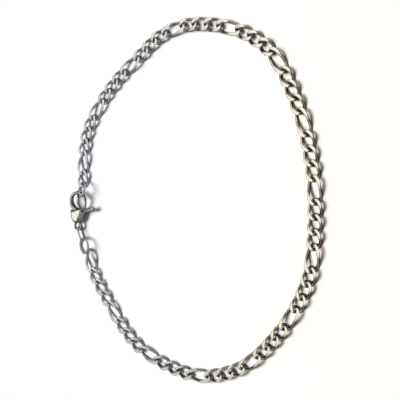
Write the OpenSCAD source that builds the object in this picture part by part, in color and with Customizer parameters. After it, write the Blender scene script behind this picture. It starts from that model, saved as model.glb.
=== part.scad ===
// Figaro chain necklace, laid flat and closed with a lobster clasp.
// Millimetres. +Z is up, the surface it lies on is z = 0, and the clasp is on the -X side.

/* [Links] */
// Width of the chain
chain_w = 6; // [5.6:0.1:7]
// Height of the rolled-flat chain
chain_t = 2.2; // [2:0.05:2.6]
// Diameter of the link wire before it is rolled flat
link_wire = 1.5; // [1.35:0.05:1.6]
// Width of a link's side rail, seen from above
rail_w = 1.15; // [1:0.05:1.25]
// Distance from joint to joint along a small link
small_pitch = 6.12; // [5.9:0.02:7.5]
// Distance from joint to joint along a long link
long_pitch = 9.45; // [8:0.05:14]
// Small links between two long ones
small_per_long = 3; // [1:1:5]
// Links in the whole chain
link_count = 58; // [42:1:70]
// Twist of a link from its middle to either end, in degrees
link_twist = 48; // [46:1:52]
// Play between two linked wires
link_play = 0.25; // [0.2:0.05:0.4]

/* [Rings] */
// Diameter of a ring, to the middle of its wire
ring_d = 7.7; // [7:0.1:8.4]
// Diameter of the ring wire
ring_wire = 1; // [0.8:0.05:1.05]
// Lean of the end ring across the chain, in degrees
end_lean = 29; // [27:1:31]
// Dip of the end ring towards the chain, in degrees
end_dip = 21.5; // [20:0.5:23]
// Lean of the tail ring across the chain, in degrees
tail_lean = 22; // [21:1:26]
// Dip of the tail ring towards the chain, in degrees
tail_dip = -2; // [-3:1:0]

/* [Tail link] */
// Outer length of the oval tail link
tail_len = 7.9; // [7.2:0.1:8.6]
// Outer width of the tail link, which stands on its edge
tail_w = 3.5; // [3.4:0.1:3.8]
// Diameter of the tail link's wire
tail_wire = 0.8; // [0.7:0.05:0.9]

/* [Clasp body] */
// Diameter of the opening inside the hook
hook_d = 7.2; // [6.8:0.1:8]
// Diameter of the hook's bar
hook_bar = 1.6; // [1.4:0.05:1.7]
// Thickness of the belly at its middle
clasp_t = 3.2; // [2.8:0.1:3.4]
// Distance from the middle of the hook to the round foot of the belly
foot_y = 8; // [7.5:0.1:9.5]
// Diameter of the round foot, on the lever's side
foot_d = 5.4; // [5:0.1:6]
// Diameter of the belly's full left side
lobe_d = 6.2; // [5.8:0.1:6.4]
// Distance from the middle of the hook down to the straight edge of the belly
belly_y = 3.4; // [3:0.1:3.6]
// Slant of that edge, in degrees
belly_slant = 8; // [0:1:10]
// Outer diameter of the eye
eye_d = 5; // [4.6:0.1:5.6]
// Diameter of the eye's wire
eye_wire = 1.1; // [0.9:0.05:1.2]
// Width of the bevel round the belly's faces
belly_bevel = 0.8; // [0.4:0.1:1]
// Width of the bevel on the belly's foot
foot_bevel = 1.8; // [1:0.1:2]
// Rise of the clasp from eye to hook, in degrees
clasp_rise = 4.5; // [4.2:0.1:4.8]

/* [Clasp lever] */
// Thickness of the lever
lever_t = 1.4; // [1.2:0.05:1.6]
// Width of the lever's curved arm
lever_w = 1.4; // [1.2:0.05:1.6]
// Diameter of the lever's round foot on the pin
lever_foot_d = 3; // [2.6:0.1:3.2]
// Length of the thumb knob, from inside the lever
knob_len = 7; // [6:0.1:7.2]
// Rise of the thumb knob from square to the clasp, in degrees
knob_rise = 13; // [8:1:16]
// Diameter of the knob's ball end
knob_d = 2.3; // [1.9:0.1:2.6]
// Diameter of the hinge pin
pin_d = 1; // [0.8:0.05:1.2]
// Clearance between moving faces
fit = 0.1; // [0.06:0.01:0.15]

/* [Hidden] */

// Route of the joints on the table, clockwise from the joint at the end ring.
route = [
    [-59.6, 8.5], [-59.3, 19.5], [-56.7, 33], [-49.5, 45.3], [-38, 57.5], [-23, 68.6], [-13, 75.6], [2, 79],
    [21, 75.6], [34, 69.2], [44, 59.5], [52, 41.5], [56.4, 26.6], [59.2, 7], [59, -13.5], [56.8, -29.5],
    [49, -46.7], [36.2, -63], [24, -73], [4.7, -79], [-15.6, -75.5], [-29.5, -69], [-38.3, -60.3],
    [-47.6, -47.2], [-54.4, -36.5], [-57.6, -25.5], [-59.5, -9]
];
// Straight steps drawn between two route points
route_steps = 12;
// Sections round a link, and sides of its wire
link_stations = 16;
wire_sides = 6;
// Degrees between the points that an oval's length is measured on
fine_turn = 0.75;
// Roundness of the oval links: 2 is an ellipse, more is squarer
small_square = 2.6;
long_square = 3.4;
// The twist stops growing this far past the middle of the end wire
twist_stop = 1.15;

ring_r = ring_d / 2;
hook_r = (hook_d + hook_bar) / 2;
foot_r = foot_d / 2;
eye_r = (eye_d - eye_wire) / 2;
lobe_r = lobe_d / 2;
// The foot, the lobe and the eye lie a little to the left of the hook's middle
foot = [-0.3, -foot_y];
lobe = [-1.7, -foot_y - foot_r + lobe_r];
// The eye's wire is sunk this deep in the foot
eye_sunk = 0.4;
eye = [-1.3, -foot_y - foot_r - eye_r + eye_sunk];
// The hook's bar runs on into the belly by this angle
bar_root = 26;
// The lever meets the hook's end at this angle from the right of the opening
mouth_a = 7;
// Long enough to cut right across the clasp
across = 2 * hook_d;
// The lever's arm follows the hook's circle down to this angle
arm_a = -40;
// Middle of the hinge pin, inside the belly
pivot = [2, -foot_y + 2.6];
// The lever's tip turns on this circle round the pin, and the hook's end is cut clear of it
tip_reach = norm(hook_r * [cos(mouth_a), sin(mouth_a)] - pivot);
// Height of the cut that lets the lever out of the belly's right shoulder
shoulder_y = belly_y + 0.9;
shoulder_x = hook_r - 1;
slot_t = lever_t + 2 * fit;
// The knob grows from here, beside the pin
knob_at = pivot + [1, 0.4];
knob_root_d = lever_t - 2 * fit;

// Place of the end ring and the hook, measured from the first joint against the run of the chain
ring_reach = 0.45;
end_side = -0.1;
hook_back = 1.35;
hook_side = -2.2;
tail_reach = 0.1;
tail_side = -1.24;
// Play of the tail link between ring and eye
tail_play = 0.6;
// Length that the fastening loses because its pieces lie aslant
slant_loss = 1.05;
lift = 0.05;

// Links: one closed ring of wire on a square-shouldered oval, twisted and pressed flat
function sgn(x) = x < 0 ? -1 : 1;
function clamp(x, m) = max(-m, min(m, x));
function is_long(i) = i % (small_per_long + 1) == 1;
function pitch(i) = is_long(i) ? long_pitch : small_pitch;
function oval(a, b, n, t) = [a * sgn(cos(t)) * pow(abs(cos(t)), 2 / n), b * sgn(sin(t)) * pow(abs(sin(t)), 2 / n)];
function run(pts) = [for (i = 0, s = 0; i < len(pts); s = s + norm(pts[(i + 1) % len(pts)] - pts[i]), i = i + 1) s];
function twisted(p, a) =
    let (f = -link_twist * clamp(p[0] / a, twist_stop))
    [p[0], clamp(p[1] * cos(f) - p[2] * sin(f), chain_w / 2), clamp(p[1] * sin(f) + p[2] * cos(f), chain_t / 2)];
function link_points(step, n) =
    let (
        a = (step + link_wire + link_play) / 2,
        b = chain_w / 2 - rail_w + link_wire / 2,
        fine = [for (t = [0 : fine_turn : 360]) oval(a, b, n, t)],
        lengths = run(fine),
        turns = [for (i = [0 : len(fine) - 1]) [lengths[i], fine_turn * i]]
    )
    [for (k = [0 : link_stations - 1])
        let (
            t = lookup(lengths[len(fine) - 1] * (k + 0.5) / link_stations, turns),
            c = oval(a, b, n, t),
            d = oval(a, b, n, t + 0.01) - oval(a, b, n, t - 0.01),
            out = [d[1], -d[0]] / norm(d)
        )
        for (j = [0 : wire_sides - 1])
            let (g = 360 * j / wire_sides, q = c + out * cos(g) * link_wire / 2)
            twisted([q[0], q[1], sin(g) * link_wire / 2], a)];
link_faces = [for (k = [0 : link_stations - 1], j = [0 : wire_sides - 1], half = [0, 1])
    let (
        k2 = (k + 1) % link_stations, j2 = (j + 1) % wire_sides,
        p = k * wire_sides + j, q = k2 * wire_sides + j, r = k2 * wire_sides + j2, s = k * wire_sides + j2
    )
    half == 0 ? [r, q, p] : [s, r, p]];
small_points = link_points(small_pitch, small_square);
long_points = link_points(long_pitch, long_square);

// Route: the closed curve through the chosen points, sized so that the whole chain just fits on it
function between(p, q, r, s, t) =
    (2 * q + (r - p) * t + (2 * p - 5 * q + 4 * r - s) * t * t + (3 * q - p - 3 * r + s) * t * t * t) / 2;
corners = len(route);
curve = [for (i = [0 : corners - 1], k = [0 : route_steps - 1])
    between(route[(i + corners - 1) % corners], route[i], route[(i + 1) % corners], route[(i + 2) % corners],
        k / route_steps)];
curve_run = run(concat(curve, [curve[0]]));
curve_len = curve_run[len(curve)];

// Spans of the fastening, along the chain from one end joint to the other
end_seat = ring_r * cos(end_dip) - ring_wire / 2 - ring_reach;
tail_seat = ring_r * cos(tail_dip) - ring_wire / 2 - tail_reach;
tail_span = ring_r + tail_len - 2 * tail_wire - (ring_wire + eye_wire) / 2 - tail_play + eye_r;
clasp_span = end_seat + hook_back + hook_r - eye[1] + tail_span + tail_seat - slant_loss;
joint_run = [for (i = 0, s = 0; i <= link_count; s = s + pitch(i), i = i + 1) s];
chain_len = joint_run[link_count] + clasp_span;
route_fit = chain_len / curve_len;
along_x = [for (i = [0 : len(curve)]) [curve_run[i] * route_fit, curve[i % len(curve)][0] * route_fit]];
along_y = [for (i = [0 : len(curve)]) [curve_run[i] * route_fit, curve[i % len(curve)][1] * route_fit]];
joints = [for (s = joint_run) [lookup(s, along_x), lookup(s, along_y)]];
function heading(p, q) = atan2(q[1] - p[1], q[0] - p[0]);
function ahead(a) = [cos(a), sin(a)];
function aside(a) = [sin(a), -cos(a)];

// Ends of the chain and the pieces between them
end_heading = heading(joints[0], joints[1]);
tail_heading = heading(joints[link_count - 1], joints[link_count]);
end_at = joints[0] - ahead(end_heading) * end_seat + aside(end_heading) * end_side;
tail_at = joints[link_count] + ahead(tail_heading) * tail_seat + aside(tail_heading) * tail_side;
clasp_heading = heading(tail_at, end_at);
hook_at = end_at - ahead(clasp_heading) * (hook_back + hook_r) + aside(clasp_heading) * hook_side;
tail_z = tail_w / 2;
clasp_z = tail_z - eye[1] * sin(clasp_rise);
eye_at = hook_at + ahead(clasp_heading) * eye[1] * cos(clasp_rise) + aside(clasp_heading) * eye[0];
tail_link_heading = heading(tail_at, eye_at);
tail_link_at = (tail_at + ahead(tail_link_heading) * ring_r + eye_at - ahead(tail_link_heading) * eye_r) / 2;

// The origin is the middle of the whole piece's outline
low = [min([for (p = joints) p[0]]), min([for (p = joints) p[1]])];
high = [max([for (p = joints) p[0]]), max([for (p = joints) p[1]])];
left_edge = min(low[0] - chain_w / 2, hook_at[0] - hook_r - hook_bar / 2);
middle = [(left_edge + high[0] + chain_w / 2) / 2, (low[1] + high[1]) / 2];

module placed(at, z, turn) {
    translate([at[0] - middle[0], at[1] - middle[1], z]) rotate([0, 0, turn]) children();
}

module chain_link(i) {
    placed((joints[i] + joints[i + 1]) / 2, chain_t / 2, heading(joints[i], joints[i + 1]))
        polyhedron(is_long(i) ? long_points : small_points, link_faces);
}

// Small oval links, three between two long ones
module short_links() {
    color("gainsboro")
        for (i = [0 : link_count - 1])
            if (!is_long(i)) chain_link(i);
}

// Long links, one after every three small ones
module long_links() {
    color("silver")
        for (i = [0 : link_count - 1])
            if (is_long(i)) chain_link(i);
}

// Ring of round wire that leans to one side and dips towards the link it hangs in
module leaning_ring(at, turn, lean, dip) {
    rise = ring_r * sin(acos(cos(lean) * cos(dip)));
    placed(at, rise + ring_wire / 2 + lift, turn)
        rotate([0, dip, 0]) rotate([lean, 0, 0])
            rotate_extrude($fn = 64) translate([ring_r, 0]) circle(d = ring_wire, $fn = 24);
}

// Soldered jump ring between the first small link and the clasp's hook
module end_ring() {
    color("lightgray") leaning_ring(end_at, end_heading, -end_lean, end_dip);
}

// Soldered jump ring on the last long link
module tail_ring() {
    color("lightgray") leaning_ring(tail_at, clasp_heading, -tail_lean, tail_dip);
}

// Oval link that stands on its edge, through the tail ring and the clasp's eye
module tail_link() {
    bend_r = (tail_w - tail_wire) / 2;
    straight = tail_len - tail_w;
    color("lightgray")
        placed(tail_link_at, tail_z + lift, tail_link_heading) rotate([90, 0, 0]) {
            for (side = [-1, 1]) {
                translate([side * straight / 2, 0, 0]) rotate([0, 0, side < 0 ? 90 : -90])
                    rotate_extrude(angle = 180, $fn = 48) translate([bend_r, 0]) circle(d = tail_wire, $fn = 24);
                translate([-straight / 2, side * bend_r, 0]) rotate([0, 90, 0])
                    cylinder(d = tail_wire, h = straight, $fn = 24);
            }
        }
}

// The clasp is drawn flat, hook up along +Y, with the middle of the hook's opening at the origin
module in_clasp() {
    placed(hook_at, clasp_z + lift, clasp_heading - 90) rotate([clasp_rise, 0, 0]) children();
}

module disc(at, d, t) {
    translate([at[0], at[1], -t / 2]) cylinder(d = d, h = t, $fn = 96);
}

// Plate between the outer tangents of two discs
module taper(p, r, q, s, t) {
    a = heading(p, q);
    b = acos((r - s) / norm(q - p));
    translate([0, 0, -t / 2]) linear_extrude(t)
        polygon([p + r * ahead(a + b), q + s * ahead(a + b), q + s * ahead(a - b), p + r * ahead(a - b)]);
}

module ring_arc(r, d, from, to) {
    rotate([0, 0, from]) rotate_extrude(angle = to - from, $fn = 96) translate([r, 0]) circle(d = d, $fn = 24);
}

// A wedge that takes one long edge off a plate whose edge faces along +X at the given distance
module edge_cut(distance, w) {
    translate([distance - w, -across, clasp_t / 2]) rotate([0, 45, 0])
        translate([-clasp_t, 0, 0]) cube([4 * clasp_t, 2 * across, clasp_t]);
}

// Heart-shaped plate from the hook's circle to the lobe and the foot, bevelled on both faces
module belly() {
    outer = hook_r + hook_bar / 2;
    right_flank = heading([0, 0], foot) + acos((outer - foot_r) / norm(foot));
    left_flank = heading([0, 0], lobe) - acos((outer - lobe_r) / norm(lobe));
    difference() {
        union() {
            disc([0, 0], 2 * outer, clasp_t);
            taper([0, 0], outer, foot, foot_r, clasp_t);
            disc(foot, foot_d, clasp_t);
            taper([0, 0], outer, lobe, lobe_r, clasp_t);
            disc(lobe, lobe_d, clasp_t);
            taper(lobe, lobe_r, foot, foot_r, clasp_t);
        }
        translate([0, -belly_y, -clasp_t]) rotate([0, 0, belly_slant])
            translate([-across, 0, 0]) cube([2 * across, across, 2 * clasp_t]);
        for (face = [0, 1], flank = [left_flank, right_flank])
            mirror([0, 0, face]) rotate([0, 0, flank]) edge_cut(outer, belly_bevel);
        for (face = [0, 1]) {
            mirror([0, 0, face]) translate([0, -belly_y, 0]) rotate([0, 0, 90 + belly_slant])
                edge_cut(0, belly_bevel / 2);
            mirror([0, 0, face]) translate([foot[0], foot[1], 0]) rotate([0, 0, -90]) edge_cut(foot_r, foot_bevel);
        }
    }
}

// Cast body: hook, crowned belly slotted for the lever, and eye
module clasp_body() {
    color("ivory") in_clasp() {
        difference() {
            union() {
                belly();
                ring_arc(hook_r, hook_bar, 90, 180 + asin(belly_y / hook_r) + bar_root);
                difference() {
                    ring_arc(hook_r, hook_bar, 0, 90);
                    disc(pivot, 2 * (tip_reach + fit), clasp_t);
                }
                translate([eye[0], eye[1], 0]) ring_arc(eye_r, eye_wire, 0, 360);
            }
            // Mouth: the right shoulder is cut away down to the lever's slot
            translate([shoulder_x, -shoulder_y, -clasp_t]) cube([hook_d, shoulder_y, 2 * clasp_t]);
            // Slot for the lever, open to the mouth and the right
            disc(pivot, lever_foot_d + 4 * fit, slot_t);
            translate([pivot[0] - lever_foot_d / 2 - 2 * fit, pivot[1], -slot_t / 2])
                cube([hook_d, -pivot[1], slot_t]);
            disc(pivot, pin_d + fit / 2, 2 * clasp_t);
        }
    }
}

// Plain hinge pin through the belly
module lever_pin() {
    color("darkgray") in_clasp() disc(pivot, pin_d, clasp_t - 4 * fit);
}

// Sprung lever that closes the mouth, with its thumb knob to the right
module clasp_lever() {
    arm_end = hook_r * ahead(arm_a);
    color("silver") in_clasp() {
        difference() {
            union() {
                // Only the part of the circle from the mouth down to the arm's end stays
                intersection() {
                    difference() {
                        disc([0, 0], 2 * hook_r + lever_w, lever_t);
                        disc([0, 0], 2 * hook_r - lever_w, 2 * lever_t);
                        rotate([0, 0, arm_a]) translate([-across, -across, -lever_t])
                            cube([2 * across, across, 2 * lever_t]);
                    }
                    disc(pivot, 2 * tip_reach, lever_t);
                }
                disc(arm_end, lever_w, lever_t);
                taper(pivot, lever_foot_d / 2, arm_end, lever_w / 2, lever_t);
                disc(pivot, lever_foot_d, lever_t);
                translate([knob_at[0], knob_at[1], 0]) rotate([0, 90, knob_rise]) {
                    cylinder(d1 = knob_root_d, d2 = knob_d, h = knob_len - knob_d / 2, $fn = 48);
                    translate([0, 0, knob_len - knob_d / 2]) sphere(d = knob_d, $fn = 48);
                }
            }
            disc(pivot, pin_d + fit, 2 * lever_t);
        }
    }
}

short_links();
long_links();
end_ring();
tail_ring();
tail_link();
clasp_body();
lever_pin();
clasp_lever();
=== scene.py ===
"""Figaro chain necklace, lying closed on a pale surface."""
import math

import bmesh
import bpy
import numpy
from mathutils import Matrix, Vector


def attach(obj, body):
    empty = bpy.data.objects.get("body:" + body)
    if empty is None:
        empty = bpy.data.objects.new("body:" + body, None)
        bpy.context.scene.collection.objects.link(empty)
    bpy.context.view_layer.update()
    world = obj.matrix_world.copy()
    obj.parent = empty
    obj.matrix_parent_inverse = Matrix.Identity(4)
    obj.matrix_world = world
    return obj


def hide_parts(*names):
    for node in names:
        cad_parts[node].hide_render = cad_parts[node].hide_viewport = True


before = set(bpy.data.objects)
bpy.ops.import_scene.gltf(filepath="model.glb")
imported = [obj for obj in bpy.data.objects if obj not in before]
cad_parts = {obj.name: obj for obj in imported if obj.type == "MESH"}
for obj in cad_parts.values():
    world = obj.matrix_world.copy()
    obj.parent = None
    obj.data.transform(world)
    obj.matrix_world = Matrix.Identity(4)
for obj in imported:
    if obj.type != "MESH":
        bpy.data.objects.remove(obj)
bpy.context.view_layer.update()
MM = 0.001

# Chain links: stainless steel wire, bent to ovals, twisted a quarter so that they lie flat on each
# other, soldered, then rolled between hardened rolls and cut with a diamond, which leaves one bright
# flat on each face. The small ones come in threes between the long ones.
CHAIN_W = 6.0 * MM
CHAIN_T = 2.2 * MM
LINK_WIRE = 1.5 * MM
RAIL_W = 1.15 * MM
LINK_PLAY = 0.25 * MM
LINK_TWIST = math.radians(48)
# Share of a link's half length past which it twists no further
TWIST_STOP = 1.15
# The two kinds of link: step from joint to joint, and how square the oval is
SMALL_STEP, SMALL_SQUARE = 6.12 * MM, 2.6
LONG_STEP, LONG_SQUARE = 9.45 * MM, 3.4
# Height over which the rolled flat rounds into the side, and the same at the chain's edges
FLAT_SHOULDER = 0.32 * MM
SIDE_SHOULDER = 0.25 * MM
WIRE_SIDES = 24
STEPS_ROUND = 64
# Edges that are duller than this are shaded round
SOFT_EDGE = math.radians(24)


def linear(hex_colour):
    """sRGB hex to the linear colour that Blender's sockets take."""
    parts = [int(hex_colour[i:i + 2], 16) / 255 for i in (1, 3, 5)]
    return [c / 12.92 if c <= 0.04045 else ((c + 0.055) / 1.055) ** 2.4 for c in parts] + [1.0]


def add(tree, kind, settings=None, **inputs):
    """One node with its settings; an input is a value or another node's output socket."""
    node = tree.nodes.new(kind)
    for name, value in (settings or {}).items():
        setattr(node, name, value)
    for name, value in inputs.items():
        key = int(name[1:]) if name[0] == "_" and name[1:].isdigit() else name.replace("_", " ")
        socket = node.inputs[key]
        if isinstance(value, bpy.types.NodeSocket):
            tree.links.new(value, socket)
        else:
            socket.default_value = value
    return node


def from_left(tree, place, reach, colours):
    """A colour that goes from the first to the second between -reach and +reach on Object X."""
    x = add(tree, "ShaderNodeSeparateXYZ", Vector=place).outputs["X"]
    share = add(tree, "ShaderNodeMapRange", Value=x, From_Min=-reach, From_Max=reach)
    ramp = add(tree, "ShaderNodeValToRGB", Fac=share.outputs["Result"])
    for stop, colour in zip(ramp.color_ramp.elements, colours):
        stop.color = linear(colour)
    return ramp.outputs["Color"]


# Brightness of the metal's reflection where it is seen nearly edge on, held down to grey
EDGE_TINT = "#808080"
# How far the painted shade reaches each way from the middle as it goes from cool to warm, and the size
# of its clouds
SHADE_TINT_REACH = 45 * MM
CLOUD = 3.0 * MM
# Depth of the finest scratches, and how unevenly the clouds of painted shade end
SCRATCH_DEPTH = 0.003 * MM
SHADE_EDGE_UNEVEN = 0.12


def steel(name, face, painted_shades, rough, scratch, turn):
    """Stainless steel, bright where it is level, with painted shade on its sides that darkens and warms
    from -X to +X.

    turn: how level the metal has to be for the painted shade to start to go, and to be gone. The
    scratches are a few times as far apart as real ones, which are too fine to show.
    """
    material = bpy.data.materials.new(name)
    material.use_nodes = True
    tree = material.node_tree
    tree.nodes.clear()
    place = add(tree, "ShaderNodeTexCoord").outputs["Object"]
    # Painted shade: the less level the metal, the more its colour goes from the face colour to a dark
    # one, standing in for the dark reflections on its sides
    normal = add(tree, "ShaderNodeNewGeometry").outputs["Normal"]
    height = add(tree, "ShaderNodeSeparateXYZ", Vector=normal).outputs["Z"]
    height = add(tree, "ShaderNodeMath", {"operation": "ABSOLUTE"}, _0=height).outputs[0]
    cloud = add(tree, "ShaderNodeTexNoise", {"noise_dimensions": "3D"}, Vector=place, Scale=1 / CLOUD,
                Detail=3.0, Roughness=0.6).outputs["Fac"]
    uneven = add(tree, "ShaderNodeMapRange", Value=cloud, From_Min=0.3, From_Max=0.7,
                 To_Min=-SHADE_EDGE_UNEVEN, To_Max=SHADE_EDGE_UNEVEN).outputs["Result"]
    height = add(tree, "ShaderNodeMath", {"operation": "ADD"}, _0=height, _1=uneven).outputs[0]
    painted_sheen_share = add(tree, "ShaderNodeMapRange", Value=height, From_Min=turn[0],
                   From_Max=turn[1]).outputs["Result"]
    # The painted shade goes from cool grey at -X to dark warm brown at +X: painted light colour
    painted_shade = from_left(tree, place, SHADE_TINT_REACH, painted_shades)
    tint = add(tree, "ShaderNodeMix", {"data_type": "RGBA"}, _0=painted_sheen_share, _6=painted_shade,
               _7=linear(face)).outputs[2]
    fine = add(tree, "ShaderNodeTexNoise", {"noise_dimensions": "3D"}, Vector=place, Scale=1 / scratch,
               Detail=4.0, Roughness=0.7).outputs["Fac"]
    gloss = add(tree, "ShaderNodeMapRange", Value=fine, From_Min=0.3, From_Max=0.7,
                To_Min=rough * 0.7, To_Max=rough * 1.5).outputs["Result"]
    bump = add(tree, "ShaderNodeBump", Strength=0.5, Distance=SCRATCH_DEPTH, Height=fine)
    shader = add(tree, "ShaderNodeBsdfPrincipled", Base_Color=tint, Metallic=1.0, Roughness=gloss,
                 Normal=bump.outputs["Normal"], Specular_Tint=linear(EDGE_TINT))
    out = add(tree, "ShaderNodeOutputMaterial")
    tree.links.new(shader.outputs["BSDF"], out.inputs["Surface"])
    return material


def shade(bm, sharp=SOFT_EDGE):
    """Smooth faces, with a crisp edge wherever two faces meet at more than this angle."""
    for face in bm.faces:
        face.smooth = True
    for edge in bm.edges:
        edge.smooth = len(edge.link_faces) < 2 or edge.calc_face_angle(0) < sharp


def finished(name, bm, material, body):
    """Puts a bmesh in the scene as a named piece that rides on its body."""
    mesh = bpy.data.meshes.new(name)
    bm.to_mesh(mesh)
    bm.free()
    mesh.materials.append(material)
    piece = bpy.data.objects.new(name, mesh)
    bpy.context.scene.collection.objects.link(piece)
    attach(piece, body)
    return piece


def square_to(along):
    """The turn that stands a circle square across a wire in the XY plane."""
    return Matrix((Vector((along.y, -along.x, 0)), (0, 0, 1), -along)).transposed().to_4x4()


def skin(bm, loops, closed=True):
    """Walls from each loop of vertices to the next, and from the last back to the first if closed."""
    for ring, after in zip(loops, loops[1:] + (loops[:1] if closed else [])):
        edges = dict.fromkeys(e for v in ring + after for e in v.link_edges
                              if all(w in ring for w in e.verts) or all(w in after for w in e.verts))
        bmesh.ops.bridge_loops(bm, edges=list(edges))


def oval(a, b, square, turn):
    """Point on the link's square-shouldered oval, seen from above."""
    c, s = math.cos(turn), math.sin(turn)
    power = 2 / square
    return Vector((math.copysign(a * abs(c) ** power, c), math.copysign(b * abs(s) ** power, s), 0))


def even_turns(a, b, square, count):
    """Turns that cut the oval into equal lengths."""
    fine = 2880
    points = [oval(a, b, square, 2 * math.pi * i / fine) for i in range(fine + 1)]
    run = [0.0]
    for p, q in zip(points, points[1:]):
        run.append(run[-1] + (q - p).length)
    turns, i = [], 0
    for k in range(count):
        want = run[-1] * k / count
        while run[i + 1] < want:
            i += 1
        share = (want - run[i]) / max(run[i + 1] - run[i], 1e-12)
        turns.append(2 * math.pi * (i + share) / fine)
    return turns


def pressed(reach, limit, shoulder):
    """A distance from the middle plane, held under its limit by a rounded shoulder."""
    past = abs(reach) - (limit - shoulder)
    if past <= 0:
        return reach
    return math.copysign(limit - shoulder * math.exp(-past / shoulder), reach)


def link(step, square):
    """One link at the origin, lying along X: wire swept round the oval, twisted, then rolled flat."""
    a = (step + LINK_WIRE + LINK_PLAY) / 2
    b = CHAIN_W / 2 - RAIL_W + LINK_WIRE / 2
    bm = bmesh.new()
    loops = []
    for turn in even_turns(a, b, square, STEPS_ROUND):
        centre = oval(a, b, square, turn)
        along = (oval(a, b, square, turn + 1e-4) - oval(a, b, square, turn - 1e-4)).normalized()
        ring = bmesh.ops.create_circle(bm, segments=WIRE_SIDES, radius=LINK_WIRE / 2,
                                       matrix=Matrix.Translation(centre) @ square_to(along))["verts"]
        loops.append(ring)
    skin(bm, loops)
    for v in bm.verts:
        f = -LINK_TWIST * max(-TWIST_STOP, min(TWIST_STOP, v.co.x / a))
        c, s = math.cos(f), math.sin(f)
        v.co.y, v.co.z = v.co.y * c - v.co.z * s, v.co.y * s + v.co.z * c
    # Metal that stands past a flat is pressed in by the rolls, and tumbling rounds the flat's edge
    for v in bm.verts:
        v.co.z = pressed(v.co.z, CHAIN_T / 2, FLAT_SHOULDER)
        v.co.y = pressed(v.co.y, CHAIN_W / 2, SIDE_SHOULDER)
    bmesh.ops.recalc_face_normals(bm, faces=bm.faces)
    shade(bm)
    return bm


def islands(node):
    """The loose solids of a CAD node, each as its list of points."""
    bm = bmesh.new()
    bm.from_mesh(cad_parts[node].data)
    bmesh.ops.remove_doubles(bm, verts=bm.verts, dist=1e-6)
    seen, found = set(), []
    for start in bm.verts:
        if start in seen:
            continue
        stack, points = [start], []
        seen.add(start)
        while stack:
            v = stack.pop()
            points.append(v.co.copy())
            for e in v.link_edges:
                w = e.other_vert(v)
                if w not in seen:
                    seen.add(w)
                    stack.append(w)
        found.append(points)
    bm.free()
    return found


def lie(points):
    """Where a link lies: the middle of its points, and the heading of its long axis."""
    low = Vector([min(p[i] for p in points) for i in range(3)])
    high = Vector([max(p[i] for p in points) for i in range(3)])
    middle = sum(points, Vector()) / len(points)
    xx = sum((p.x - middle.x) ** 2 for p in points)
    yy = sum((p.y - middle.y) ** 2 for p in points)
    xy = sum((p.x - middle.x) * (p.y - middle.y) for p in points)
    heading = 0.5 * math.atan2(2 * xy, xx - yy)
    centre = Vector((middle.x, middle.y, (low.z + high.z) / 2))
    return Matrix.Translation(centre) @ Matrix.Rotation(heading, 4, "Z")


def chain_of(name, node, step, square, material):
    """Every link of one kind, laid where the frame's own links lie."""
    model = link(step, square)
    model_mesh = bpy.data.meshes.new(name + "_model")
    model.to_mesh(model_mesh)
    model.free()
    bm = bmesh.new()
    for points in islands(node):
        before = len(bm.verts)
        bm.from_mesh(model_mesh)
        bm.verts.ensure_lookup_table()
        bmesh.ops.transform(bm, matrix=lie(points), verts=bm.verts[before:])
    bpy.data.meshes.remove(model_mesh)
    piece = finished(name, bm, material, "necklace")
    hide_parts(node)
    return piece


# Rolled stainless steel, diamond cut: bright clear flats, and painted shade on the round sides, grey on
# the left and olive brown on the right
link_steel = steel("rolled_stainless_steel", "#E6E3DC", ("#A0A2A8", "#584A2A"), rough=0.075,
                   scratch=0.25 * MM, turn=(0.66, 0.94))
chain_of("small_links", "short_links", SMALL_STEP, SMALL_SQUARE, link_steel)
chain_of("long_link_row", "long_links", LONG_STEP, LONG_SQUARE, link_steel)

# Jump rings: drawn stainless wire, wound to rings, cut and soldered shut. One hangs in the first small
# link and in the clasp's hook, the other in the last long link; a low bead of solder closes each.
RING_R = 3.85 * MM
RING_WIRE = 1.0 * MM
RING_STEPS = 96
# The bead swells the wire by this share, over this turn, at this place on the ring
BEAD_RISE = 0.06
BEAD_TURN = math.radians(7)
BEAD_AT = math.radians(140)


def tube(bm, path, widths, heights, sides=WIRE_SIDES, closed=True, faced=None):
    """Wire along a path in the XY plane, with its own width and height at each point.

    faced: the way that the wire is cut at some points, where it isn't square to the path.
    """
    loops, count = [], len(path)
    for k, (point, width, height) in enumerate(zip(path, widths, heights)):
        before, after = path[k - 1], path[(k + 1) % count]
        if not closed:
            before, after = path[max(k - 1, 0)], path[min(k + 1, count - 1)]
        along = (after - before).normalized()
        if faced and k in faced:
            along = faced[k].normalized()
        shape = Matrix.Translation(point) @ square_to(along) @ Matrix.Diagonal((width, height, 1, 1))
        loops.append(bmesh.ops.create_circle(bm, segments=sides, radius=0.5, matrix=shape)["verts"])
    skin(bm, loops, closed)
    if not closed:
        for ring in (loops[0], loops[-1]):
            bmesh.ops.contextual_create(bm, geom=ring)


def axes_of(node):
    """Where a frame node lies: its middle, and its long, second and thin axes."""
    points = numpy.array([v.co[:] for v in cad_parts[node].data.vertices])
    middle = (points.max(axis=0) + points.min(axis=0)) / 2
    turned = numpy.linalg.eigh(numpy.cov((points - points.mean(axis=0)).T))[1]
    long_way, thin = Vector(turned[:, 2]), Vector(turned[:, 0])
    turn = Matrix((long_way, thin.cross(long_way), thin)).transposed().to_4x4()
    return Matrix.Translation(middle) @ turn


def around(radius, start, end, steps, middle=(0, 0)):
    """Points on an arc in the XY plane, from one angle in degrees to another."""
    turns = [math.radians(start + (end - start) * k / steps) for k in range(steps + 1)]
    x, y = middle
    return [Vector((x + radius * math.cos(t), y + radius * math.sin(t), 0)) for t in turns]


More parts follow.
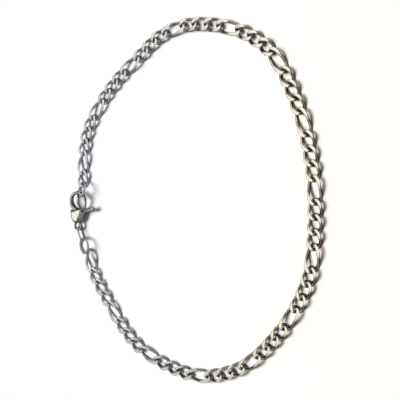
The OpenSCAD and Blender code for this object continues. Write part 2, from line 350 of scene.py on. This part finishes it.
def jump_ring(name, node):
    """One soldered ring in the place of the frame's own."""
    bm = bmesh.new()
    path = around(RING_R, 0, 360, RING_STEPS)[:-1]
    past_bead = [2 * math.pi * k / RING_STEPS - BEAD_AT for k in range(RING_STEPS)]
    thick = [RING_WIRE * (1 + BEAD_RISE * math.exp(-((turn / BEAD_TURN) ** 2))) for turn in past_bead]
    tube(bm, path, thick, thick)
    bmesh.ops.transform(bm, matrix=axes_of(node), verts=bm.verts)
    bmesh.ops.recalc_face_normals(bm, faces=bm.faces)
    shade(bm)
    piece = finished(name, bm, ring_steel, "necklace")
    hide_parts(node)


# Drawn stainless wire, smooth from the die: it shines all round, with painted shade only on its steep
# sides, grey on the left and warm on the right
ring_steel = steel("drawn_stainless_wire", "#DCDBD8", ("#808286", "#6A6454"), rough=0.08,
                   scratch=0.2 * MM, turn=(0.15, 0.75))
jump_ring("soldered_end_ring", "end_ring")
jump_ring("soldered_tail_ring", "tail_ring")

# Tail link: a slim oval of the same drawn wire, bent round two pins and welded on one straight side. It
# stands on its edge, through the tail ring and the clasp's eye.
TAIL_LEN = 7.9 * MM
TAIL_W = 3.5 * MM
TAIL_WIRE = 0.8 * MM
TAIL_SIDES = 20
BEND_STEPS = 20
bend = (TAIL_W - TAIL_WIRE) / 2
straight = (TAIL_LEN - TAIL_W) / 2
bm = bmesh.new()
path = around(bend, -90, 90, BEND_STEPS, (straight, 0))
path += [Vector((straight * k / 4, bend, 0)) for k in range(3, -4, -1)]
path += around(bend, 90, 270, BEND_STEPS, (-straight, 0))
path += [Vector((straight * k / 4, -bend, 0)) for k in range(-3, 4)]
tube(bm, path, [TAIL_WIRE] * len(path), [TAIL_WIRE] * len(path), sides=TAIL_SIDES)
bmesh.ops.transform(bm, matrix=axes_of("tail_link"), verts=bm.verts)
bmesh.ops.recalc_face_normals(bm, faces=bm.faces)
shade(bm)
piece = finished("welded_tail_link", bm, ring_steel, "necklace")
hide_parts("tail_link")

# Clasp body: stainless steel, investment cast in one piece, with a tapering hook, a heart-shaped belly
# that is flat in front and sloped all round, and a closed eye. It is slotted for the lever and tumbled.
HOOK_AT = Vector((-59.1982, 0.0418, 2.7611)) * MM
CLASP_TURN = math.radians(-0.038)
CLASP_RISE = math.radians(4.5)
IN_CLASP = (Matrix.Translation(HOOK_AT) @ Matrix.Rotation(CLASP_TURN, 4, "Z")
            @ Matrix.Rotation(CLASP_RISE, 4, "X"))
# From here on, the sizes of body, pin and lever are in millimetres, and each finished mesh is scaled
TO_FRAME = IN_CLASP @ Matrix.Scale(MM, 4)
HOOK_OUTER, BAR, MOUTH_BAR, ROOT_BAR = 5.2, 1.6, 1.5, 2.1
# The hook in degrees: its mouth, where it is at its full bar, where it starts to thicken, over how many
# degrees, and its root. By then it stands higher than it is wide
HOOK_MOUTH, HOOK_FULL, HOOK_THICKEN, THICKEN_OVER, HOOK_ROOT = 8, 60, 130, 70, 246
HOOK_STEPS = 72
ROOT_RISE = 0.5
# Inside the belly the hook's root goes on down: points, widths and heights
ROOT_PATH = [Vector((-1.5, -4.9, 0)), Vector((-1.5, -5.8, 0))]
ROOT_WIDTHS, ROOT_HEIGHTS = [2.0, 1.8], [2.2, 1.6]
BELLY_T, BELLY_EDGE_T, BELLY_SLOPE = 3.2, 1.5, 1.05
FOOT, FOOT_R, LOBE, LOBE_R = Vector((-0.3, -8.0, 0)), 2.7, Vector((-1.7, -7.6, 0)), 3.1
# Planes that trim the belly, each a point and the way it faces: its upper edge, the slope below that,
# and the long slope on the lever's side, from the horn down to the tip
FACE = BELLY_T / 2
TOP_LEAN = math.radians(8)
BELLY_CUTS = ((Vector((0, -3.4, 0)), Vector((-math.sin(TOP_LEAN), math.cos(TOP_LEAN), 0))),
              (Vector((2.6, -3.55, FACE)), Vector((-0.26, 0.97, 1.0)).normalized()),
              (Vector((2.6, -3.3, FACE)), Vector((0.853, -0.522, 2.1)).normalized()))
EYE, EYE_R, EYE_WIRE, EYE_RISE = Vector((-1.3, -12.25, 0)), 1.95, 1.1, 1.1
PIVOT = Vector((2.0, -5.4, 0))
LEVER_T, LEVER_FOOT_R, PIN_D, FIT = 1.4, 1.5, 1.0, 0.1
SLOT_T = LEVER_T + 2 * FIT
# The shoulder that is milled off beside the lever: its inner side, its foot and its top
SHOULDER_X, SHOULDER_Y, SHOULDER_TOP = 3.4, 4.3, -0.5
# A reach that is past all the metal, for cutters
OUTSIDE = 8.0
MOUTH_R = HOOK_OUTER - BAR / 2
MOUTH_TURN = math.radians(7)
MOUTH = Vector((MOUTH_R * math.cos(MOUTH_TURN), MOUTH_R * math.sin(MOUTH_TURN), 0))
TIP_WAY = (MOUTH - PIVOT).normalized()
TIP_REACH = (MOUTH - PIVOT).length
# The mouth's gap past the lever's tip, beyond the fit, and how far the tip itself is ground back
MOUTH_GAP, TIP_BACK = 0.05, 0.02
# How fine the mould's skin is, and how often the tumbling barrel smooths it
BODY_GRAIN, BODY_TUMBLE = 0.11, 3
BELLY_ROUND, HOLE_SIDES = 96, 32
# Castings keep the edges that are sharper than this
CAST_EDGE = math.radians(40)


def loose(name, bm):
    """A bmesh as a plain object, for a modifier to work on."""
    mesh = bpy.data.meshes.new(name)
    bm.to_mesh(mesh)
    bm.free()
    shape = bpy.data.objects.new(name, mesh)
    bpy.context.scene.collection.objects.link(shape)
    return shape


def worked(shape):
    """The bmesh that a plain object's modifiers leave, once the object itself is gone."""
    bm = bmesh.new()
    bm.from_object(shape, bpy.context.evaluated_depsgraph_get())
    mesh = shape.data
    bpy.data.objects.remove(shape)
    bpy.data.meshes.remove(mesh)
    return bm


def cast(bm, grain, passes):
    """Overlapping shells as one tumbled casting: melted together on a grid and smoothed, in passes."""
    shape = loose("casting", bm)
    melt = shape.modifiers.new("melt", "REMESH")
    melt.mode = "VOXEL"
    melt.voxel_size = grain
    bm = worked(shape)
    for _ in range(passes):
        bmesh.ops.smooth_vert(bm, verts=bm.verts, factor=0.5, use_axis_x=True, use_axis_y=True,
                              use_axis_z=True)
    return bm


def milled(bm, cutter):
    """The casting with a cutter's shape taken out of it."""
    shape, tool = loose("casting", bm), loose("cutter", cutter)
    cut = shape.modifiers.new("cut", "BOOLEAN")
    cut.operation = "DIFFERENCE"
    cut.solver = "EXACT"
    cut.object = tool
    bm = worked(shape)
    mesh = tool.data
    bpy.data.objects.remove(tool)
    bpy.data.meshes.remove(mesh)
    return bm


def block(low, high):
    """A box between two corners, as a cutter."""
    bm = bmesh.new()
    low, high = Vector(low), Vector(high)
    shape = Matrix.Translation((low + high) / 2) @ Matrix.Diagonal((*(high - low), 1))
    bmesh.ops.create_cube(bm, size=1, matrix=shape)
    return bm


def drum(at, radius, thick, sides=64):
    """A short cylinder on the clasp's middle plane, as a cutter."""
    bm = bmesh.new()
    bmesh.ops.create_cone(bm, cap_ends=True, segments=sides, radius1=radius, radius2=radius, depth=thick,
                          matrix=Matrix.Translation(at))
    return bm


def belly():
    """Hull of three discs, full at the middle plane and drawn in at the faces, trimmed by planes."""
    bm = bmesh.new()
    for middle, radius in ((Vector(), HOOK_OUTER), (FOOT, FOOT_R), (LOBE, LOBE_R)):
        for z, inset in ((BELLY_EDGE_T / 2, 0), (BELLY_T / 2, BELLY_SLOPE)):
            for side in (-z, z):
                bmesh.ops.create_circle(bm, segments=BELLY_ROUND, radius=radius - inset,
                                        matrix=Matrix.Translation(middle + Vector((0, 0, side))))
    hull = bmesh.ops.convex_hull(bm, input=bm.verts)
    inside = [v for v in hull["geom_interior"] if isinstance(v, bmesh.types.BMVert)]
    bmesh.ops.delete(bm, geom=inside, context="VERTS")
    for at, way in BELLY_CUTS:
        for side in (-1, 1):
            bmesh.ops.bisect_plane(bm, geom=bm.verts[:] + bm.edges[:] + bm.faces[:],
                                   clear_outer=True, plane_co=(at.x, at.y, at.z * side),
                                   plane_no=(way.x, way.y, way.z * side))
            bmesh.ops.holes_fill(bm, edges=bm.edges)
    return bm


bm = belly()
# The hook tapers from the belly's left shoulder to its mouth; its end is cut square to the lever's tip
turns = [HOOK_MOUTH + (HOOK_ROOT - HOOK_MOUTH) * k / HOOK_STEPS for k in range(HOOK_STEPS + 1)]
grown = [min(max((turn - HOOK_THICKEN) / THICKEN_OVER, 0), 1) for turn in turns]
widths = [MOUTH_BAR + (BAR - MOUTH_BAR) * min(turn / HOOK_FULL, 1) + (ROOT_BAR - BAR) * g
          for turn, g in zip(turns, grown)]
heights = [w + ROOT_RISE * g for w, g in zip(widths, grown)]
path = [around(HOOK_OUTER - w / 2, turn, turn, 1)[0] for turn, w in zip(turns, widths)]
path[0] = PIVOT + TIP_WAY * (TIP_REACH + FIT + MOUTH_GAP)
tube(bm, path + ROOT_PATH, widths + ROOT_WIDTHS, heights + ROOT_HEIGHTS, closed=False,
     faced={0: TIP_WAY})
eye_path = [EYE + point for point in around(EYE_R, 0, 360, STEPS_ROUND)[:-1]]
tube(bm, eye_path, [EYE_WIRE] * STEPS_ROUND, [EYE_WIRE * EYE_RISE] * STEPS_ROUND)
bmesh.ops.recalc_face_normals(bm, faces=bm.faces)
bm = cast(bm, BODY_GRAIN, BODY_TUMBLE)
# Milled in turn: the shoulder, the lever's slot, the round end of the slot, and the pin's hole
foot_hollow_r = LEVER_FOOT_R + 2 * FIT
bm = milled(bm, block((SHOULDER_X, -SHOULDER_Y, -BELLY_T), (OUTSIDE, SHOULDER_TOP, BELLY_T)))
bm = milled(bm, block((PIVOT.x - foot_hollow_r, PIVOT.y, -SLOT_T / 2), (OUTSIDE, 0, SLOT_T / 2)))
bm = milled(bm, drum(PIVOT, foot_hollow_r, SLOT_T))
bm = milled(bm, drum(PIVOT, (PIN_D + FIT / 2) / 2, 2 * BELLY_T, HOLE_SIDES))
bmesh.ops.transform(bm, matrix=TO_FRAME, verts=bm.verts)
shade(bm, CAST_EDGE)
# Cast stainless steel, tumbled: a soft clear shine on its flats, and painted shade on its slopes and
# sides, grey on the left and warm on the right
clasp_steel = steel("cast_stainless_steel", "#E6E2D6", ("#6A6862", "#605A4A"), rough=0.085,
                    scratch=0.3 * MM, turn=(0.84, 0.985))
piece = finished("cast_clasp_body", bm, clasp_steel, "necklace")
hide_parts("clasp_body")

# Hinge pin: hard drawn stainless wire, pushed through body and lever and ground off just under the
# faces, with a small round left on both rims.
PIN_SIDES, PIN_RIM = 48, 0.12
bm = drum(PIVOT, PIN_D / 2, BELLY_T - 6 * FIT, PIN_SIDES)
rims = [e for e in bm.edges if abs(e.verts[0].co.z - e.verts[1].co.z) < 1e-6]
bmesh.ops.bevel(bm, geom=rims, offset=PIN_RIM, segments=3, profile=0.5, affect="EDGES", material=-1)
bmesh.ops.transform(bm, matrix=TO_FRAME, verts=bm.verts)
bmesh.ops.recalc_face_normals(bm, faces=bm.faces)
shade(bm)
piece = finished("ground_hinge_pin", bm, ring_steel, "necklace")
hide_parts("lever_pin")

# Lever: cast stainless steel, in one piece with its thumb knob. It swings in the slot on the pin, and a
# coil spring inside the belly presses its tip against the hook's end.
ARM_W, ARM_SWELL = 1.4, 0.25
# The arm follows the hook's circle between these turns, and then goes straight to the pin
ARM_FROM, ARM_TO, ARM_STEPS = 4, -40, 20
LEVER_GRAIN, LEVER_TUMBLE = 0.09, 2
bm = drum(PIVOT, LEVER_FOOT_R, LEVER_T)
path = [PIVOT + TIP_WAY * (TIP_REACH - TIP_BACK)] + around(MOUTH_R, ARM_FROM, ARM_TO, ARM_STEPS)
path += [path[-1].lerp(PIVOT, k / 4) for k in range(1, 4)]
widths = [ARM_W] * (ARM_STEPS + 1) + [ARM_W + ARM_SWELL * k for k in range(1, 5)]
tube(bm, path, widths, [LEVER_T] * len(path), closed=False, faced={0: -TIP_WAY})
# The knob is turned about its own axis: a slim neck that swells to a ball
KNOB_AT, KNOB_RISE = PIVOT + Vector((1, 0.4, 0)), math.radians(13)
KNOB_LEN, KNOB_ROOT, KNOB_D, KNOB_SWELL, NECK_STEPS = 7.0, 1.2, 2.3, 1.3, 12
BALL_TURNS = [math.radians(turn) for turn in (15, 30, 45, 60, 75, 86)]
knob_end = KNOB_LEN - KNOB_D / 2
shares = [k / NECK_STEPS for k in range(NECK_STEPS + 1)]
along_knob = [knob_end * share for share in shares]
along_knob += [knob_end + KNOB_D / 2 * math.sin(turn) for turn in BALL_TURNS]
thick = [KNOB_ROOT + (KNOB_D - KNOB_ROOT) * share ** KNOB_SWELL for share in shares]
thick += [KNOB_D * math.cos(turn) for turn in BALL_TURNS]
knob_way = Vector((math.cos(KNOB_RISE), math.sin(KNOB_RISE), 0))
tube(bm, [KNOB_AT + knob_way * reach for reach in along_knob], thick, thick, closed=False)
bmesh.ops.recalc_face_normals(bm, faces=bm.faces)
bm = cast(bm, LEVER_GRAIN, LEVER_TUMBLE)
bm = milled(bm, drum(PIVOT, (PIN_D + FIT) / 2, 2 * LEVER_T, HOLE_SIDES))
bmesh.ops.transform(bm, matrix=TO_FRAME, verts=bm.verts)
shade(bm, CAST_EDGE)
# The same casting steel, painted brighter than the body and with less painted shade on its slopes, so
# that the knob shows a painted highlight
lever_steel = steel("cast_lever_steel", "#F2F0EA", ("#6A6862", "#605A4A"), rough=0.08,
                    scratch=0.3 * MM, turn=(0.35, 0.85))
piece = finished("cast_lever", bm, lever_steel, "lever")
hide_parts("clasp_lever")

# Table: a smooth white card that the chain lies on, larger than the view. It scatters all its light. Its
# colour is
# painted light: cool on the clasp's side and warm on the other, which tints the shadows.
FLOOR_HALF = 3.0
LIGHT_TINT_REACH = 70 * MM
bm = bmesh.new()
bmesh.ops.create_grid(bm, x_segments=1, y_segments=1, size=FLOOR_HALF)
floor_mesh = bpy.data.meshes.new("table")
bm.to_mesh(floor_mesh)
bm.free()
floor = bpy.data.objects.new("table", floor_mesh)
bpy.context.scene.collection.objects.link(floor)
paper = bpy.data.materials.new("white_card")
paper.use_nodes = True
shader = paper.node_tree.nodes["Principled BSDF"]
place = add(paper.node_tree, "ShaderNodeTexCoord").outputs["Object"]
# Painted light: the card's colour goes from cool at -X to warm at +X, which shows in its shadows
painted_light_tint = from_left(paper.node_tree, place, LIGHT_TINT_REACH, ("#EFF2FA", "#FBF7F0"))
paper.node_tree.links.new(painted_light_tint, shader.inputs["Base Color"])
shader.inputs["Roughness"].default_value = 0.9
shader.inputs["Specular IOR Level"].default_value = 0.1
floor_mesh.materials.append(paper)

# Camera: above the side of the chain that is opposite the clasp and tilted towards the clasp, as the
# photograph was taken. Lens and sensor are in millimetres.
CAMERA_AT = Vector((138.1, 14.8, 235.9)) * MM
TILT = math.radians(29)
AZIMUTH = math.radians(-174)
ROLL = math.radians(0.4)
LENS, SENSOR = 54.5, 36.0
ca, sa, ct, st = math.cos(AZIMUTH), math.sin(AZIMUTH), math.cos(TILT), math.sin(TILT)
level = Vector((ct * ca, ct * sa, st))
level_side = Vector((-sa, ca, 0))
cr, sr = math.cos(AZIMUTH + ROLL), math.sin(AZIMUTH + ROLL)
right = cr * level - sr * level_side
up = sr * level + cr * level_side
forward = Vector((st * ca, st * sa, -ct))
lens = bpy.data.cameras.new("camera")
lens.lens = LENS
lens.sensor_width = SENSOR
lens.sensor_fit = "HORIZONTAL"
lens.clip_start = 0.01
camera = bpy.data.objects.new("camera", lens)
bpy.context.scene.collection.objects.link(camera)
camera.matrix_world = Matrix.Translation(CAMERA_AT) @ Matrix((right, up, -forward)).transposed().to_4x4()
bpy.context.scene.camera = camera


# Light: one broad soft light from the left throws the shadows, and a dim dome fills them. The metal
# mirrors neither: it mirrors the room and dim panels over the loop, warm on the right and cool on the
# left, which light nothing.
def placed(name, data, at, aim):
    """A light object at a point, facing down unless aimed."""
    lamp = bpy.data.objects.new(name, data)
    bpy.context.scene.collection.objects.link(lamp)
    lamp.location = at
    if aim:
        lamp.rotation_euler = (Vector(aim) - Vector(at)).to_track_quat("-Z", "Y").to_euler()
    return lamp


def sky(name, at, radiance, spread, colour):
    """Even light from far away, where 1 makes a level card as bright as white; spread is its width."""
    data = bpy.data.lights.new(name, "SUN")
    data.angle = math.radians(spread)
    data.energy = radiance * math.pi * Vector(at).length / at[2]
    data.color = linear(colour)[:3]
    placed(name, data, at, (0, 0, 0)).visible_glossy = False


def panel(name, at, size, radiance, colour, aim=None):
    """A rectangle for the metal to mirror, of even radiance, where 1 is white."""
    data = bpy.data.lights.new(name, "AREA")
    data.shape = "RECTANGLE"
    data.size, data.size_y = size
    data.energy = radiance * math.pi * size[0] * size[1]
    data.color = linear(colour)[:3]
    placed(name, data, at, aim).visible_diffuse = False


sky("key", (-1.2, 0.1, 1.5), 1.06, 38, "#FFFDFA")
sky("dome", (0, 0, 1.0), 0.11, 170, "#F4F6FC")
panel("right_strip", (-0.24, 0.0, 1.0), (0.34, 0.9), 0.9, "#FFF6DE")
panel("top_strip", (-0.54, 0.45, 1.0), (0.44, 0.5), 0.75, "#F4F6F0")
panel("left_strip", (-0.95, -0.03, 1.0), (0.5, 0.7), 0.7, "#D4DEF2")
panel("low_strip", (-0.60, -0.50, 1.0), (0.5, 0.34), 0.55, "#F0F2EC")
panel("low_card", (-0.92, -0.25, 0.99), (0.16, 0.16), 0.4, "#FFF0C4")
panel("back_wall", (-0.2, 1.3, 0.85), (2.2, 0.9), 0.6, "#F6F8F4", aim=(0, 0, 0))
world = bpy.data.worlds.new("room")
world.use_nodes = True
world.node_tree.nodes["Background"].inputs["Color"].default_value = linear("#D0D2D2")
world.node_tree.nodes["Background"].inputs["Strength"].default_value = 0.5
bpy.context.scene.world = world
world.cycles_visibility.diffuse = False
bpy.context.scene.view_settings.view_transform = "Standard"
